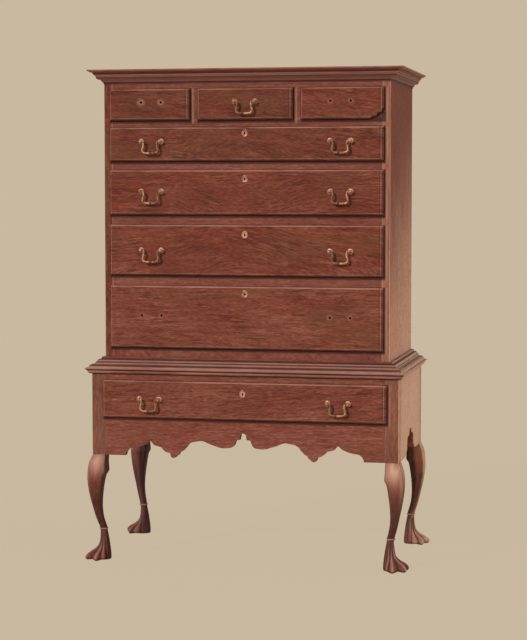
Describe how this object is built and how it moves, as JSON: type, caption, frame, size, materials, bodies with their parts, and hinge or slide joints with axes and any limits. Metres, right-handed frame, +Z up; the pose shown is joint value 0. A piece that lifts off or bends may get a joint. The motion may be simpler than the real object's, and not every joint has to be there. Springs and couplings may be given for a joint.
{
  "type": "highboy",
  "caption": "Two-part high chest of drawers: scalloped lower case on cabriole legs with carved feet, lipped drawers, swan-neck bail pulls.",
  "frame": {"origin": "on the floor under the middle of the whole piece", "axes": "+Z up, -Y towards the front where the drawers open, +X to the right seen from the front"},
  "size_m": [1.1142, 0.6312, 1.65],
  "materials": {
    "case_wood": "oil varnish",
    "leg_wood": "oil varnish",
    "drawer_front_wood": "oil varnish",
    "inner_wood": "bare, aged",
    "brass": "dull, aged"
  },
  "bodies": {
    "lower_case": {"front_apron": "case_wood", "leg_front_left": "leg_wood", "leg_front_right": "leg_wood", "leg_rear_left": "leg_wood", "leg_rear_right": "leg_wood", "lower_back": "inner_wood", "lower_case_top": "inner_wood", "lower_drawer_runners": "inner_wood", "lower_side_left": "case_wood", "lower_side_right": "case_wood", "lower_top_rail": "case_wood", "waist_moulding_front": "case_wood", "waist_moulding_left": "case_wood", "waist_moulding_right": "case_wood"},
    "upper_case": {"cornice_front": "case_wood", "cornice_left": "case_wood", "cornice_right": "case_wood", "drawer_rails": "case_wood", "small_drawer_dividers": "case_wood", "small_drawer_guides": "inner_wood", "upper_back": "inner_wood", "upper_bottom": "inner_wood", "upper_drawer_runners": "inner_wood", "upper_side_left": "case_wood", "upper_side_right": "case_wood", "upper_top": "inner_wood"},
    "small_drawer_left": {"small_drawer_left_box": "inner_wood", "small_drawer_left_front": "drawer_front_wood"},
    "small_drawer_centre": {"small_drawer_centre_box": "inner_wood", "small_drawer_centre_brasses": "brass", "small_drawer_centre_front": "drawer_front_wood"},
    "small_drawer_centre_bail": {"small_drawer_centre_bail": "brass"},
    "small_drawer_right": {"small_drawer_right_box": "inner_wood", "small_drawer_right_front": "drawer_front_wood"},
    "long_drawer_1": {"long_drawer_1_box": "inner_wood", "long_drawer_1_brasses": "brass", "long_drawer_1_front": "drawer_front_wood"},
    "long_drawer_1_bail_left": {"long_drawer_1_bail_left": "brass"},
    "long_drawer_1_bail_right": {"long_drawer_1_bail_right": "brass"},
    "long_drawer_2": {"long_drawer_2_box": "inner_wood", "long_drawer_2_brasses": "brass", "long_drawer_2_front": "drawer_front_wood"},
    "long_drawer_2_bail_left": {"long_drawer_2_bail_left": "brass"},
    "long_drawer_2_bail_right": {"long_drawer_2_bail_right": "brass"},
    "long_drawer_3": {"long_drawer_3_box": "inner_wood", "long_drawer_3_brasses": "brass", "long_drawer_3_front": "drawer_front_wood"},
    "long_drawer_3_bail_left": {"long_drawer_3_bail_left": "brass"},
    "long_drawer_3_bail_right": {"long_drawer_3_bail_right": "brass"},
    "long_drawer_4": {"long_drawer_4_box": "inner_wood", "long_drawer_4_brasses": "brass", "long_drawer_4_front": "drawer_front_wood"},
    "lower_drawer": {"lower_drawer_box": "inner_wood", "lower_drawer_brasses": "brass", "lower_drawer_front": "drawer_front_wood"},
    "lower_drawer_bail_left": {"lower_drawer_bail_left": "brass"},
    "lower_drawer_bail_right": {"lower_drawer_bail_right": "brass"}
  },
  "joints": [
    {"name": "upper_case_lift", "type": "slide", "parent": "lower_case", "child": "upper_case", "axis": [0, 0, 1], "range_m": [0, 0.06]},
    {"name": "small_drawer_left_slide", "type": "slide", "parent": "upper_case", "child": "small_drawer_left", "axis": [0, -1, 0], "range_m": [0, 0.38]},
    {"name": "small_drawer_centre_slide", "type": "slide", "parent": "upper_case", "child": "small_drawer_centre", "axis": [0, -1, 0], "range_m": [0, 0.38]},
    {"name": "small_drawer_centre_bail_swing", "type": "hinge", "parent": "small_drawer_centre", "child": "small_drawer_centre_bail", "pos_m": [0, -0.2663, 1.5411], "axis": [-1, 0, 0], "range_deg": [-10, 140]},
    {"name": "small_drawer_right_slide", "type": "slide", "parent": "upper_case", "child": "small_drawer_right", "axis": [0, -1, 0], "range_m": [0, 0.38]},
    {"name": "long_drawer_1_slide", "type": "slide", "parent": "upper_case", "child": "long_drawer_1", "axis": [0, -1, 0], "range_m": [0, 0.38]},
    {"name": "long_drawer_1_bail_left_swing", "type": "hinge", "parent": "long_drawer_1", "child": "long_drawer_1_bail_left", "pos_m": [-0.32, -0.2663, 1.4112], "axis": [-1, 0, 0], "range_deg": [-10, 140]},
    {"name": "long_drawer_1_bail_right_swing", "type": "hinge", "parent": "long_drawer_1", "child": "long_drawer_1_bail_right", "pos_m": [0.32, -0.2663, 1.4112], "axis": [-1, 0, 0], "range_deg": [-10, 140]},
    {"name": "long_drawer_2_slide", "type": "slide", "parent": "upper_case", "child": "long_drawer_2", "axis": [0, -1, 0], "range_m": [0, 0.38]},
    {"name": "long_drawer_2_bail_left_swing", "type": "hinge", "parent": "long_drawer_2", "child": "long_drawer_2_bail_left", "pos_m": [-0.32, -0.2663, 1.2453], "axis": [-1, 0, 0], "range_deg": [-10, 140]},
    {"name": "long_drawer_2_bail_right_swing", "type": "hinge", "parent": "long_drawer_2", "child": "long_drawer_2_bail_right", "pos_m": [0.32, -0.2663, 1.2453], "axis": [-1, 0, 0], "range_deg": [-10, 140]},
    {"name": "long_drawer_3_slide", "type": "slide", "parent": "upper_case", "child": "long_drawer_3", "axis": [0, -1, 0], "range_m": [0, 0.38]},
    {"name": "long_drawer_3_bail_left_swing", "type": "hinge", "parent": "long_drawer_3", "child": "long_drawer_3_bail_left", "pos_m": [-0.32, -0.2663, 1.0493], "axis": [-1, 0, 0], "range_deg": [-10, 140]},
    {"name": "long_drawer_3_bail_right_swing", "type": "hinge", "parent": "long_drawer_3", "child": "long_drawer_3_bail_right", "pos_m": [0.32, -0.2663, 1.0493], "axis": [-1, 0, 0], "range_deg": [-10, 140]},
    {"name": "long_drawer_4_slide", "type": "slide", "parent": "upper_case", "child": "long_drawer_4", "axis": [0, -1, 0], "range_m": [0, 0.38]},
    {"name": "lower_drawer_slide", "type": "slide", "parent": "lower_case", "child": "lower_drawer", "axis": [0, -1, 0], "range_m": [0, 0.42]},
    {"name": "lower_drawer_bail_left_swing", "type": "hinge", "parent": "lower_drawer", "child": "lower_drawer_bail_left", "pos_m": [-0.32, -0.3038, 0.552], "axis": [-1, 0, 0], "range_deg": [-10, 140]},
    {"name": "lower_drawer_bail_right_swing", "type": "hinge", "parent": "lower_drawer", "child": "lower_drawer_bail_right", "pos_m": [0.32, -0.3038, 0.552], "axis": [-1, 0, 0], "range_deg": [-10, 140]}
  ]
}
